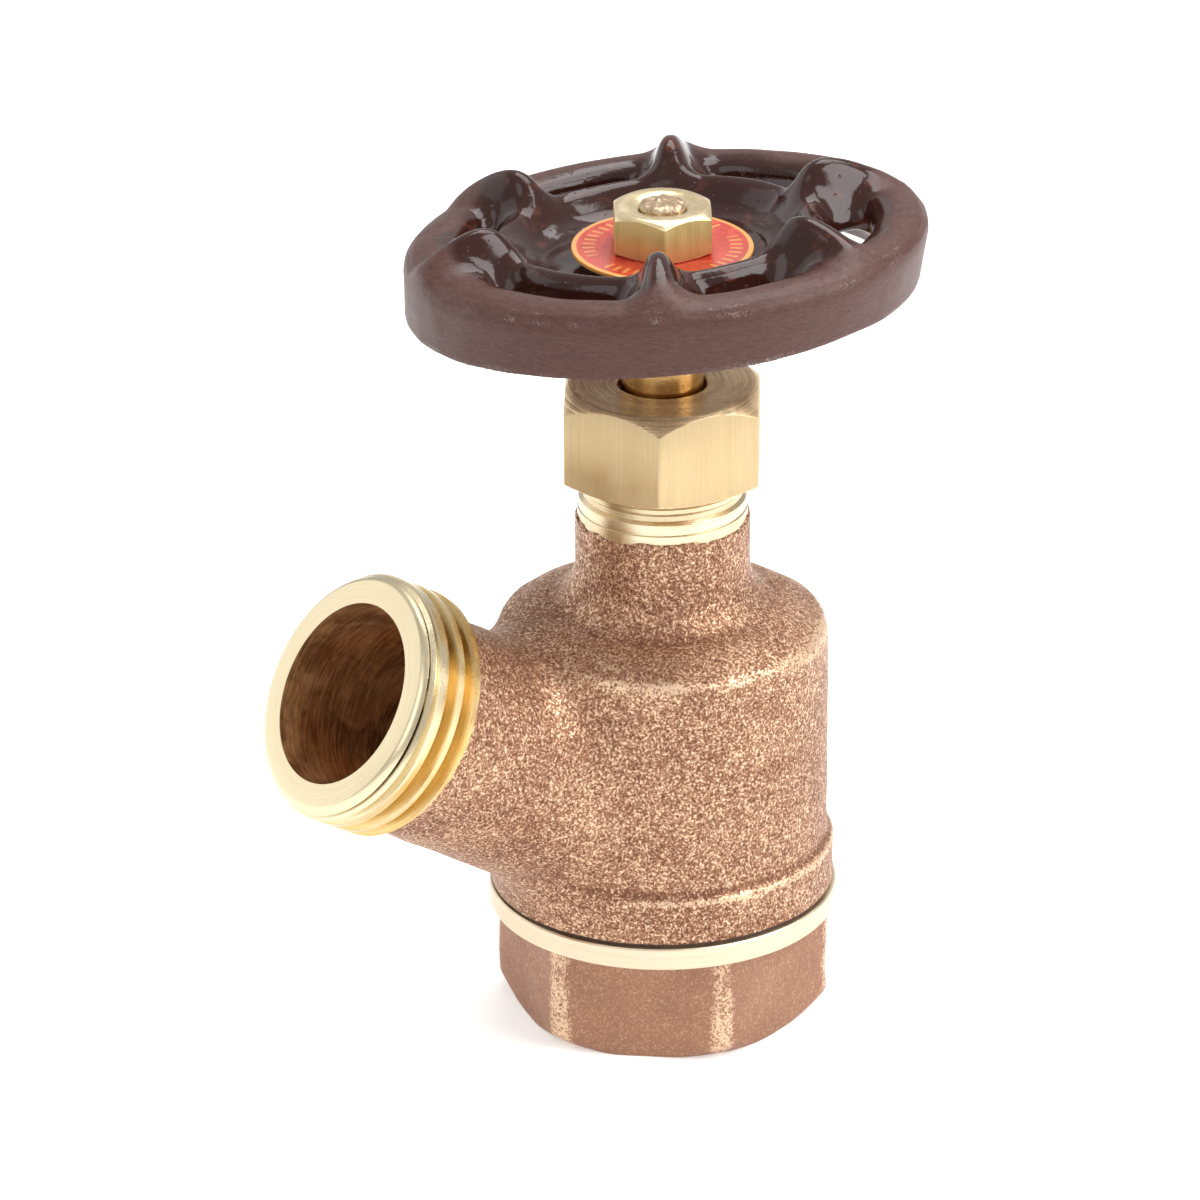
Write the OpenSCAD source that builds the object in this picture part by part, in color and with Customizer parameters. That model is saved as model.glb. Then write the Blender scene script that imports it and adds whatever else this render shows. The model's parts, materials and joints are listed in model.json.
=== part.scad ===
// Bent-nose compression valve with a female pipe inlet and a male hose outlet.
// Frame: origin at the centre of the inlet face, +Z along the stem to the
// handwheel, the outlet leans up towards -Y.  All sizes are in millimetres.
// The valve is shown closed.

/* [Inlet end] */
// Width across the flats of the inlet hexagon
inlet_hex_af = 32; // [31:0.5:33]
// Height of the inlet hexagon
inlet_hex_h = 12; // [11:0.5:12.5]
// Radius of the turned ring above the hexagon
ring_r = 18.8; // [18.4:0.1:19.5]
// Height of the turned ring
ring_h = 2.45; // [2:0.05:3]
// Radius of the inlet pipe thread at its crests
inlet_thread_r = 12; // [11.5:0.1:12.3]
// Radius of the port through the seat
port_r = 7.5; // [6:0.25:8]
// Height of the seat above the inlet face
seat_z = 21.5; // [21:0.1:22]

/* [Body] */
// Radius of the body above its collar
body_r = 17.8; // [17.6:0.1:18.2]
// Radius of the collar round the body's mouth
collar_r = 18.5; // [18.3:0.1:19]
// Radius of the chamber inside the body
chamber_r = 14.5; // [13.8:0.1:14.8]
// Radius of the cast neck
neck_r = 9.3; // [9.2:0.1:9.6]
// Height of the top of the neck above the inlet face
neck_top_z = 68.8; // [68.6:0.1:69]

/* [Outlet] */
// Angle of the outlet above the horizontal
nozzle_rise = 31.05; // [28:0.05:34]
// Distance from the stem's axis to the outlet face
nozzle_length = 46.5; // [45.5:0.1:48]
// Radius of the outlet tube behind its thread
nozzle_tube_r = 12; // [11.9:0.1:12.2]
// Radius of the machined outlet bore
outlet_bore_r = 9.9; // [9.2:0.1:10.2]
// Radius of the hose thread at its crests
hose_thread_r = 13.5; // [13.3:0.05:13.6]
// Pitch of the hose thread
hose_thread_pitch = 2.209; // [2:0.001:2.3]

/* [Stem and packing] */
// Radius of the polished stem
stem_r = 4.37; // [4.3:0.01:4.4]
// Radius of the stem's lifting thread
stem_thread_r = 5.55; // [5.4:0.01:5.6]
// Pitch of the stem's lifting thread
stem_pitch = 2.117; // [1.5:0.001:2.2]
// Radius of the stuffing box
box_r = 6.55; // [6.5:0.05:6.7]
// Number of packing rings
packing_rings = 3; // [3:1:3]
// Width across the flats of the packing nut
packing_nut_af = 20.6; // [20.5:0.1:21.5]
// Height of the packing nut
packing_nut_h = 10.3; // [10.1:0.1:10.5]

/* [Handwheel] */
// Radius of the handwheel at its lower edge
wheel_r = 27.1; // [26:0.1:28]
// Number of finger lobes
wheel_lobes = 6; // [5:1:7]
// How far the handwheel leans on its loose square, in degrees
wheel_lean = 6.2; // [0:0.1:6.5]
// Radius of the identification plate
plate_r = 9.65; // [8:0.05:10]
// Width across the flats of the handwheel nut
wheel_nut_af = 10.2; // [9.5:0.1:10.5]

/* [Hidden] */

$fn = 96;

// A cutter reaches this far past the face that it opens
over = 1;
// Room between pieces that turn or slide on each other
running_gap = 0.05;
// Room between pieces that are screwed together
screwed_gap = 0.03;

// Heights up the stem's axis
ring_top_z = inlet_hex_h + ring_h;
gasket_h = 0.5;
body_base_z = ring_top_z + gasket_h;
spigot_top_z = 20.2;
collar_top_z = 20;
chamber_top_z = 41;
shoulder_z = 43.7;
shoulder_round = 1.7;
neck_cast_top_z = 57.3;
box_floor_z = 58.2;
nut_base_z = 62.2;
nut_top_z = nut_base_z + packing_nut_h;
gland_top_z = nut_top_z - 2;
packing_base_z = box_floor_z + 1;
packing_top_z = 66.6;

// Threads and passages of the castings
body_thread_r = 15.2;
inlet_thread_pitch = 1.814;
inlet_thread_turns = 7;
inlet_thread_depth = 1.1;
nozzle_axis_z = 21.9;
passage_r = 8.6;
passage_start = 8;
outlet_bore_depth = 17;
hose_thread_root_r = 12.06;
hose_rear_crests = 2;
hose_crest_w = 0.6;
hose_front_crest_rear = 2.54;
hose_front_chamfer = 1.3;
hose_thread_rear = 8.1;
neck_thread_r = 8.9;
neck_thread_pitch = 1.3;
neck_thread_depth = 0.6;

// Directions round the stem's axis, in degrees
inlet_hex_turn = -10.75;
packing_nut_turn = 26.15;
wheel_nut_turn = 29.75;
wheel_turn = 25.05;
wheel_lean_toward = 199.9;

// Stem from its foot to its tip
button_r = 4.9;
button_z = 28.7;
button_h = 2;
stem_foot_r = 2.8;
foot_top_z = 33.6;
thread_base_z = 44;
thread_top_z = 52.7;
thread_depth = 0.9;
square_base_z = 84;
square_w = 6;
stud_base_z = 87;
stud_r = 2.42;
stem_tip_z = 93.1;

// Disc at the foot of the stem
seat_disc_h = 3.5;
seat_disc_r = 8.5;
holder_r = 9.8;
holder_neck_r = 7;
holder_top_z = 32.6;
holder_stud_r = 2;
disc_nut_h = 2.2;

// Handwheel, measured from the centre of its lower edge
wheel_base_z = 82.7;
rim_top_h = 7.4;
rim_flare = 1;
rim_wall = 3;
rim_crest_r = 25.1;
rim_inner_r = 22.2;
lip_r = 16.4;
lip_h = 7.2;
web_h = 4.3;
web_thick = 2.6;
lobe_peak_r = 19.2;
lobe_peak_h = 10.7;
hub_r = 7.2;
hub_top_z = 87.5;
plate_h = 0.5;
wheel_nut_h = 4.65;

// Colours
bronze = "#b98f72";
brass = "#d9b973";
pale_brass = "#ead9ae";
iron_enamel = "#4a3732";
fibre = "#3b2a20";
graphite = "#3a3a3a";
black_rubber = "#232323";
plate_red = "#c8382a";

// Points on an arc, from angle a0 to angle a1
function arc(centre, r, a0, a1, steps = 8) =
    [for (i = [0:steps]) centre + r * [cos(a0 + (a1 - a0) * i / steps), sin(a0 + (a1 - a0) * i / steps)]];

// Corner radius of a hexagon from its width across the flats
function hex_corner(af) = af / 2 / cos(30);

// Outline points of thread crests: flat crests at crest_r with V roots at root_r
function thread_outline(crest_r, root_r, z0, pitch, crests, crest_w) =
    [for (i = [0:crests - 1])
        let (z = z0 + i * pitch, root_w = (pitch - crest_w) / 3)
        each [[crest_r, z], [crest_r, z + crest_w],
              [root_r, z + crest_w + root_w], [root_r, z + crest_w + 2 * root_w]]];

// Solid of revolution from an outline given as [radius, height] points
module turned(outline) {
    rotate_extrude() polygon(outline);
}

// Hexagonal prism with its corners turned down by cones at the chosen ends
module hex_bar(af, h, corner_r, top_chamfer, bottom_chamfer) {
    face_r = af / 2 - 0.1;
    slope = corner_r - face_r;
    intersection() {
        cylinder(r = hex_corner(af), h = h, $fn = 6);
        turned([[0, 0],
                [bottom_chamfer > 0 ? face_r : corner_r, 0],
                [corner_r, bottom_chamfer > 0 ? slope * bottom_chamfer : 0.001],
                [corner_r, h - (top_chamfer > 0 ? slope * top_chamfer : 0.001)],
                [top_chamfer > 0 ? face_r : corner_r, h],
                [0, h]]);
    }
}

// Moves its children to the outlet's axis, with +Z out of the outlet
module on_nozzle() {
    translate([0, 0, nozzle_axis_z]) rotate([90 - nozzle_rise, 0, 0]) children();
}

// Leans its children as the handwheel leans, about the centre of its lower edge
module leaned() {
    translate([0, 0, wheel_base_z])
        rotate([0, 0, wheel_lean_toward]) rotate([0, wheel_lean, 0])
            rotate([0, 0, wheel_turn - wheel_lean_toward]) children();
}

// ---- castings ----

// Outside of the body, without the outlet
module body_outside() {
    turned(concat(
        [[0, body_base_z], [collar_r - 0.2, body_base_z], [collar_r, body_base_z + 0.2],
         [collar_r, collar_top_z - 0.3], [body_r, collar_top_z + 0.5]],
        arc([body_r - shoulder_round, shoulder_z], shoulder_round, 0, 60),
        arc([12.2, 46.9], 2, 15, 60, 4),
        arc([neck_r + 2.2, 51], 2.2, 240, 180, 6),
        [[neck_r, neck_cast_top_z], [neck_r - 0.25, neck_cast_top_z + 0.4],
         [neck_r - 0.25, 59.4], [neck_thread_r - 0.35, 59.9], [neck_thread_r - 0.35, 60.5],
         [neck_thread_r, 60.8]],
        thread_outline(neck_thread_r, neck_thread_r - neck_thread_depth, 61, neck_thread_pitch, 5, 0.6),
        [[neck_thread_r, 67.6], [neck_thread_r, neck_top_z - 0.6],
         [neck_thread_r - 0.6, neck_top_z], [0, neck_top_z]]));
}

// Inside of the body: thread for the inlet end, chamber, stem guide and stuffing box
module body_inside() {
    turned(concat(
        [[0, body_base_z - over], [body_thread_r, body_base_z - over],
         [body_thread_r, spigot_top_z + 0.4], [chamber_r, spigot_top_z + 1]],
        arc([chamber_r - 3, chamber_top_z - 2], 3, 0, 60),
        [[stem_thread_r + running_gap + 1.5, 46], [stem_thread_r + running_gap, 47],
         [stem_thread_r + running_gap, box_floor_z], [box_r, box_floor_z],
         [box_r, neck_top_z + over], [0, neck_top_z + over]]));
}

// Outside of the outlet tube with its hose thread, along the outlet's own axis
module nozzle_outside() {
    front_crest_z = nozzle_length - hose_front_crest_rear;
    rear_crest_z = front_crest_z - hose_rear_crests * hose_thread_pitch;
    thread_rear_z = nozzle_length - hose_thread_rear;
    rotate_extrude() polygon(concat(
        [[0, 0], [nozzle_tube_r, 0], [nozzle_tube_r, thread_rear_z],
         [hose_thread_root_r, thread_rear_z + 0.3]],
        thread_outline(hose_thread_r, hose_thread_root_r, rear_crest_z, hose_thread_pitch,
                       hose_rear_crests, hose_crest_w),
        [[hose_thread_r, front_crest_z],
         [hose_thread_r, nozzle_length - hose_front_chamfer],
         [hose_thread_r - hose_front_chamfer, nozzle_length],
         [0, nozzle_length]]));
}

module valve_body() {
    color(bronze) difference() {
        union() {
            body_outside();
            difference() {
                on_nozzle() nozzle_outside();
                translate([0, 0, -over]) cylinder(r = 60, h = body_base_z + over);
            }
        }
        body_inside();
        on_nozzle() {
            translate([0, 0, passage_start]) cylinder(r = passage_r, h = nozzle_length);
            translate([0, 0, nozzle_length - outlet_bore_depth])
                cylinder(r = outlet_bore_r, h = outlet_bore_depth + over);
        }
    }
}

module inlet_end() {
    crest_w = 0.7;
    seat_lip_r = port_r + 1.8;
    color(bronze) difference() {
        union() {
            rotate([0, 0, inlet_hex_turn])
                hex_bar(inlet_hex_af, inlet_hex_h, hex_corner(inlet_hex_af) - 0.35, 0, 0.75);
            turned([[0, inlet_hex_h - 0.5], [ring_r, inlet_hex_h], [ring_r, ring_top_z], [0, ring_top_z]]);
            cylinder(r = body_thread_r - screwed_gap, h = spigot_top_z);
            cylinder(r = seat_lip_r, h = seat_z);
        }
        translate([0, 0, 18.4]) difference() {
            cylinder(r = body_thread_r - 2.6, h = 10);
            translate([0, 0, -over]) cylinder(r = seat_lip_r, h = 12);
        }
        turned(concat(
            [[0, -over], [inlet_thread_r, -over]],
            thread_outline(inlet_thread_r, inlet_thread_r + inlet_thread_depth, 0,
                           inlet_thread_pitch, inlet_thread_turns, crest_w),
            [[inlet_thread_r, inlet_thread_turns * inlet_thread_pitch], [inlet_thread_r, ring_top_z],
             [port_r, ring_top_z + 1.6], [port_r, seat_z + over], [0, seat_z + over]]));
    }
}

module body_gasket() {
    color(fibre) translate([0, 0, ring_top_z]) difference() {
        cylinder(r = collar_r - 0.25, h = gasket_h);
        translate([0, 0, -over]) cylinder(r = body_thread_r + 0.1, h = gasket_h + 2 * over);
    }
}

// ---- packing ----

// Flat ring round the stem inside the stuffing box
module box_ring(z, h) {
    translate([0, 0, z]) difference() {
        cylinder(r = box_r - screwed_gap, h = h);
        translate([0, 0, -over]) cylinder(r = stem_r + running_gap, h = h + 2 * over);
    }
}

module packing_washer() {
    color(brass) box_ring(box_floor_z, packing_base_z - box_floor_z);
}

// One ring of the stuffing box's packing, counted from the bottom
module packing_ring(index) {
    ring = (packing_top_z - packing_base_z) / packing_rings;
    color(graphite) box_ring(packing_base_z + (index - 1) * ring, ring);
}

module packing_gland() {
    flange_r = 8;
    color(brass) difference() {
        union() {
            translate([0, 0, packing_top_z])
                cylinder(r = box_r - screwed_gap, h = gland_top_z - packing_top_z);
            translate([0, 0, neck_top_z + 0.4])
                cylinder(r = flange_r, h = gland_top_z - neck_top_z - 0.4);
        }
        translate([0, 0, packing_top_z - over])
            cylinder(r = stem_r + running_gap, h = gland_top_z - packing_top_z + 2 * over);
    }
}

module packing_nut() {
    hole_r = 4.7;
    color(brass) difference() {
        translate([0, 0, nut_base_z]) rotate([0, 0, packing_nut_turn])
            hex_bar(packing_nut_af, packing_nut_h, hex_corner(packing_nut_af) - 0.1, 0.75, 0.35);
        translate([0, 0, nut_base_z - over])
            cylinder(r = neck_thread_r + screwed_gap, h = gland_top_z - nut_base_z + over);
        translate([0, 0, gland_top_z - over]) cylinder(r = hole_r, h = 3 + over);
    }
}

// ---- stem and disc ----

module stem() {
    tip_dome = 0.35;
    color(brass) {
        turned(concat(
            [[0, button_z], [button_r, button_z], [button_r, button_z + button_h],
             [stem_foot_r, button_z + button_h], [stem_foot_r, foot_top_z - 0.6],
             [stem_r, foot_top_z], [stem_r, thread_base_z - 1], [stem_thread_r, thread_base_z]],
            thread_outline(stem_thread_r, stem_thread_r - thread_depth, thread_base_z,
                           stem_pitch, 4, stem_pitch / 2),
            [[stem_thread_r, thread_top_z - 0.2], [stem_thread_r - 0.2, thread_top_z],
             [stem_r, thread_top_z], [stem_r, square_base_z], [0, square_base_z]]));
        translate([-square_w / 2, -square_w / 2, square_base_z - over])
            cube([square_w, square_w, stud_base_z - square_base_z + over]);
        turned([[0, stud_base_z - over], [stud_r, stud_base_z - over],
                [stud_r, stem_tip_z - tip_dome], [stud_r - tip_dome, stem_tip_z], [0, stem_tip_z]]);
    }
}

// The holder slips on to the stem's button from the side, so its slot is open on one side
module disc_holder() {
    slot_gap = 0.1;
    cup_z = seat_z + seat_disc_h;
    color(brass) difference() {
        union() {
            translate([0, 0, cup_z - 2]) cylinder(r = holder_r, h = 3.6);
            translate([0, 0, cup_z]) cylinder(r = holder_neck_r, h = holder_top_z - cup_z);
            translate([0, 0, seat_z - disc_nut_h]) cylinder(r = holder_stud_r, h = seat_disc_h + disc_nut_h);
        }
        translate([0, 0, cup_z - 2 - over]) difference() {
            cylinder(r = seat_disc_r + 0.1, h = 2 + over);
            translate([0, 0, -over]) cylinder(r = holder_stud_r, h = 5);
        }
        translate([0, 0, button_z - slot_gap]) {
            cylinder(r = button_r + slot_gap, h = button_h + 2 * slot_gap);
            translate([0, -button_r - slot_gap, 0])
                cube([20, 2 * (button_r + slot_gap), button_h + 2 * slot_gap]);
        }
        translate([0, 0, button_z]) {
            cylinder(r = stem_foot_r + slot_gap, h = 20);
            translate([0, -stem_foot_r - slot_gap, 0])
                cube([20, 2 * (stem_foot_r + slot_gap), 20]);
        }
    }
}

module seat_disc() {
    color(black_rubber) translate([0, 0, seat_z]) difference() {
        cylinder(r = seat_disc_r, h = seat_disc_h);
        translate([0, 0, -over]) cylinder(r = holder_stud_r + screwed_gap, h = seat_disc_h + 2 * over);
    }
}

module seat_disc_nut() {
    color(brass) difference() {
        translate([0, 0, seat_z - disc_nut_h]) hex_bar(8, disc_nut_h, hex_corner(8) - 0.05, 0, 0.6);
        translate([0, 0, seat_z - disc_nut_h - over])
            cylinder(r = holder_stud_r + screwed_gap, h = disc_nut_h + 2 * over);
    }
}

// ---- handwheel ----

// Rim, web with its raised lip, and hub, about the handwheel's own axis
module wheel_turned_parts() {
    flare_h = 5.6;
    turned(concat(
        [[wheel_r - rim_wall, 0], [wheel_r - 0.5, 0], [wheel_r, 0.5],
         [wheel_r + rim_flare - 0.1, flare_h]],
        arc([rim_crest_r, flare_h - 1.6], wheel_r + rim_flare - rim_crest_r, 30, 90, 6),
        [[rim_inner_r + 0.6, rim_top_h - 0.3], [rim_inner_r, rim_top_h - 1.1]]));
    turned(concat(
        [[0, web_h - web_thick], [lip_r - 1.5, web_h - web_thick], [lip_r + 0.9, web_h - 1]],
        [[lip_r + 1.2, lip_h - 1.1]],
        arc([lip_r, lip_h - 0.9], 0.9, 0, 160, 6),
        [[lip_r - 2.6, web_h + 0.4], [lip_r - 3.6, web_h], [0, web_h]]));
    translate([0, 0, web_h - web_thick]) cylinder(r = hub_r, h = 4);
}

// Height of a lobe's flank, sideways from its crest
function lobe_flank(t) = web_h + (lobe_peak_h + 0.4 - web_h) * exp(-pow(t / 2.4, 2));

// One lobe: a ridge from the lip over the slot to the rim
module wheel_lobe() {
    half_w = 4.2;
    steps = 12;
    intersection() {
        rotate([90, 0, 0]) translate([0, 0, -half_w]) linear_extrude(2 * half_w)
            polygon(concat(
                [[lip_r - 1.6, web_h - web_thick], [lip_r - 1.9, web_h + 0.4], [lip_r - 0.7, lip_h]],
                arc([lobe_peak_r, lobe_peak_h - 3.2], 3.2, 150, 60, 6),
                [[24.6, 9], [wheel_r + rim_flare - 1.2, rim_top_h - 1], [wheel_r - 0.6, 2], [rim_inner_r, 2]]));
        translate([lip_r - 3, 0, 0]) rotate([90, 0, 90]) linear_extrude(wheel_r)
            polygon(concat(
                [[half_w, 0]],
                [for (i = [0:steps]) let (t = half_w - i * 2 * half_w / steps) [t, lobe_flank(t)]],
                [[-half_w, 0]]));
    }
}

module handwheel() {
    square_room = 0.15;
    seat_r = 5.6;
    color(iron_enamel) difference() {
        leaned() {
            wheel_turned_parts();
            for (i = [0:wheel_lobes - 1]) rotate([0, 0, i * 360 / wheel_lobes]) wheel_lobe();
        }
        translate([0, 0, hub_top_z]) cylinder(r = plate_r + 1.4, h = 10);
        translate([0, 0, square_base_z - 10]) cylinder(r = hub_r + 3, h = 10);
        translate([-square_w / 2 - square_room, -square_w / 2 - square_room, 70])
            cube([square_w + 2 * square_room, square_w + 2 * square_room, 30]);
    }
}

module identification_plate() {
    color(plate_red) translate([0, 0, hub_top_z]) difference() {
        cylinder(r = plate_r, h = plate_h);
        translate([0, 0, -over]) cylinder(r = stud_r + 0.2, h = plate_h + 2 * over);
    }
}

module handwheel_nut() {
    base_z = hub_top_z + plate_h;
    color(pale_brass) difference() {
        translate([0, 0, base_z]) rotate([0, 0, wheel_nut_turn])
            hex_bar(wheel_nut_af, wheel_nut_h, hex_corner(wheel_nut_af) - 0.05, 1, 0.3);
        translate([0, 0, base_z - over]) cylinder(r = stud_r + screwed_gap, h = wheel_nut_h + 2 * over);
    }
}

valve_body();
inlet_end();
body_gasket();
packing_washer();
packing_ring(1);  // packing_ring_1
packing_ring(2);  // packing_ring_2
packing_ring(3);  // packing_ring_3
packing_gland();
packing_nut();
stem();
disc_holder();
seat_disc();
seat_disc_nut();
handwheel();
identification_plate();
handwheel_nut();
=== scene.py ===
"""Looks of a bent-nose garden valve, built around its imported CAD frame.

Lengths in this script are millimetres in the valve's own frame until finish_piece()
turns them into metres.  The castings are rounded solids given by a distance field,
and the machined parts are turned and cut from outlines.
"""

import json
import math

import bpy
import numpy as np
from mathutils import Matrix, Vector


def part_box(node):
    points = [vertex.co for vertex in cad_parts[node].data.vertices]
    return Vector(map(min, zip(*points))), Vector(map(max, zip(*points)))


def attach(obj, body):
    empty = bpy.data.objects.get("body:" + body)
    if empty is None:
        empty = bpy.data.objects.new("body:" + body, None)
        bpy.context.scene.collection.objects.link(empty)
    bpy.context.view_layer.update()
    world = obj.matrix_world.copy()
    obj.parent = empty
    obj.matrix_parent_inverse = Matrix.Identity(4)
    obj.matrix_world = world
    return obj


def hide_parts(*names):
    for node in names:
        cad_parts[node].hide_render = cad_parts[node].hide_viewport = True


MM = 0.001
TAU = 2 * math.pi

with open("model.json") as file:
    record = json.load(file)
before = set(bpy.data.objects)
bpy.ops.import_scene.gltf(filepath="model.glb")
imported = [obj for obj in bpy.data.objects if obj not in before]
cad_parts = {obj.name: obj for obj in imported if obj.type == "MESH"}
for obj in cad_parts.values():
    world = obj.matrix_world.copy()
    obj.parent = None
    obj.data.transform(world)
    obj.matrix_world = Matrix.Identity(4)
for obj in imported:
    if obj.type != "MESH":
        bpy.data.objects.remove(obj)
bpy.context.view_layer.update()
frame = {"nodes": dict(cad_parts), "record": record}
scene = bpy.context.scene


# ---- sizes from the frame


def node_box(node):
    """Lowest and highest corners of a CAD node, in millimetres."""
    low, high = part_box(node)
    return np.array(low) / MM, np.array(high) / MM


def mount(name):
    """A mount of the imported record."""
    return next(m for m in frame["record"]["mounts"] if m["name"] == name)


# Radius and heights of the round pieces
_, (RING_R, _, SEAT_Z) = node_box("inlet_end")
(_, _, RING_TOP), (_, _, BODY_BASE) = node_box("body_gasket")
_, (COLLAR_R, _, NECK_TOP) = node_box("valve_body")
(_, _, NUT_BASE), (_, _, NUT_TOP) = node_box("packing_nut")
(_, _, STEM_FOOT), (_, _, STEM_TIP) = node_box("stem")
(_, _, PLATE_BASE), (PLATE_R, _, PLATE_TOP) = node_box("identification_plate")
_, (_, _, WHEEL_NUT_TOP) = node_box("handwheel_nut")

# The outlet runs along its own axis, which crosses the stem's axis at OUTLET_Z
OUTLET_AXIS = np.array(mount("outlet_thread")["axis"])
OUTLET_RISE = math.asin(OUTLET_AXIS[2])
OUTLET_R = mount("outlet_thread")["dims"]["r_mm"]
OUTLET_BORE_R = mount("outlet_bore")["dims"]["r_mm"]
OUTLET_BORE_DEPTH = mount("outlet_bore")["dims"]["length_mm"]
_, face_y, face_z = np.array(mount("outlet_face")["pos_m"]) / MM
OUTLET_LENGTH = abs(face_y) / math.cos(OUTLET_RISE)
OUTLET_Z = face_z - OUTLET_LENGTH * math.sin(OUTLET_RISE)
INLET_THREAD_R = mount("inlet")["dims"]["r_mm"]

# The camera's direction round the stem, in degrees
VIEW_TURN = -31.85

# Outlet frame: +Z out of the outlet, +X across it
OUTLET_FRAME = (Matrix.Translation((0, 0, OUTLET_Z))
                @ Matrix.Rotation(math.pi / 2 - OUTLET_RISE, 4, "X"))

# The handwheel sits askew on its square: a tilt about the centre of its lower edge
WHEEL_BASE = 82.7
WHEEL_LEAN = math.radians(6.2)
WHEEL_LEAN_TOWARD = math.radians(199.9)
WHEEL_FRAME = (Matrix.Translation((0, 0, WHEEL_BASE)) @ Matrix.Rotation(WHEEL_LEAN_TOWARD, 4, "Z")
               @ Matrix.Rotation(WHEEL_LEAN, 4, "Y") @ Matrix.Rotation(-WHEEL_LEAN_TOWARD, 4, "Z"))


# ---- outlines and fields


def arc(centre, radius, start, end, steps=8):
    """Points on an arc between two angles in degrees."""
    angles = np.radians(np.linspace(start, end, steps + 1))
    return [(centre[0] + radius * math.cos(a), centre[1] + radius * math.sin(a)) for a in angles]


def smooth_min(a, b, k):
    """Union of two distance fields with a fillet about k wide."""
    h = np.clip(0.5 + 0.5 * (b - a) / k, 0, 1)
    return b + (a - b) * h - k * h * (1 - h)


def smooth_max(a, b, k):
    """Intersection of two distance fields with a rounding about k wide."""
    return -smooth_min(-a, -b, k)


def smooth_step(low, high, value):
    """0 below low, 1 above high, and a soft step between them."""
    t = np.clip((value - low) / (high - low), 0, 1)
    return t * t * (3 - 2 * t)


def outline_distance(points, r, h):
    """Signed distance from (r, h) to a closed outline, negative inside."""
    points = np.array(points, dtype=float)
    nearest = np.full(r.shape, 1e9)
    inside = np.zeros(r.shape, dtype=bool)
    for (r0, h0), (r1, h1) in zip(points, np.roll(points, -1, axis=0)):
        dr, dh = r1 - r0, h1 - h0
        along = np.clip(((r - r0) * dr + (h - h0) * dh) / max(dr * dr + dh * dh, 1e-12), 0, 1)
        nearest = np.minimum(nearest, (r - r0 - along * dr) ** 2 + (h - h0 - along * dh) ** 2)
        if h0 != h1:
            crosses = (h0 > h) != (h1 > h)
            inside ^= crosses & (r < r0 + (h - h0) / (h1 - h0) * dr)
    return np.where(inside, -1, 1) * np.sqrt(nearest)


class TurnedField:
    """Distance field of a solid of revolution, looked up from a fine grid of its outline."""

    def __init__(self, points, margin=6, step=0.08):
        closed = points
        if min(r for r, _ in points) == 0:
            # A solid one is mirrored past the axis, so the axis itself isn't an edge
            right = [p for p in points if p[0] > 0]
            closed = right + [(-r, h) for r, h in reversed(right)]
        heights = [h for _, h in points]
        self.step = step
        self.low = min(heights) - margin
        r = np.arange(0, max(p[0] for p in points) + margin, step)
        h = np.arange(self.low, max(heights) + margin, step)
        self.grid = outline_distance(closed, *np.meshgrid(r, h, indexing="ij"))

    def __call__(self, r, h):
        u = np.clip(r / self.step, 0, self.grid.shape[0] - 1.001)
        v = np.clip((h - self.low) / self.step, 0, self.grid.shape[1] - 1.001)
        i, j = u.astype(int), v.astype(int)
        u, v = u - i, v - j
        g = self.grid
        return ((g[i, j] * (1 - u) + g[i + 1, j] * u) * (1 - v)
                + (g[i, j + 1] * (1 - u) + g[i + 1, j + 1] * u) * v)


def ripple(x, y, z, size, seed, waves=14):
    """Smooth, seeded waviness between about -1 and 1, with bumps about size across."""
    draw = np.random.default_rng(seed)
    total = np.zeros(x.shape)
    for _ in range(waves):
        direction = draw.normal(size=3)
        direction *= TAU / (2 * size) / np.linalg.norm(direction) * draw.uniform(0.7, 1.4)
        phase = draw.uniform(0, TAU)
        total += np.sin(direction[0] * x + direction[1] * y + direction[2] * z + phase)
    return total / math.sqrt(waves)


# ---- meshes from fields


def beside(field, points, axis, reach):
    """A field's values a little before and after some points, along one axis."""
    step = np.zeros(3)
    step[axis] = reach
    return field(*(points - step).T), field(*(points + step).T)


def field_slope(field, points):
    """Gradient of a field at an array of points."""
    reach = 0.06
    slope = np.empty_like(points)
    for axis in range(3):
        before, after = beside(field, points, axis, reach)
        slope[:, axis] = (after - before) / (2 * reach)
    return slope


def bend_at(field, points, reach):
    """How convex a field's surface is: above 0 on an edge and below 0 in a fillet."""
    around = sum(sum(beside(field, points, axis, reach)) for axis in range(3))
    return around / 6 - field(*points.T)


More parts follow.
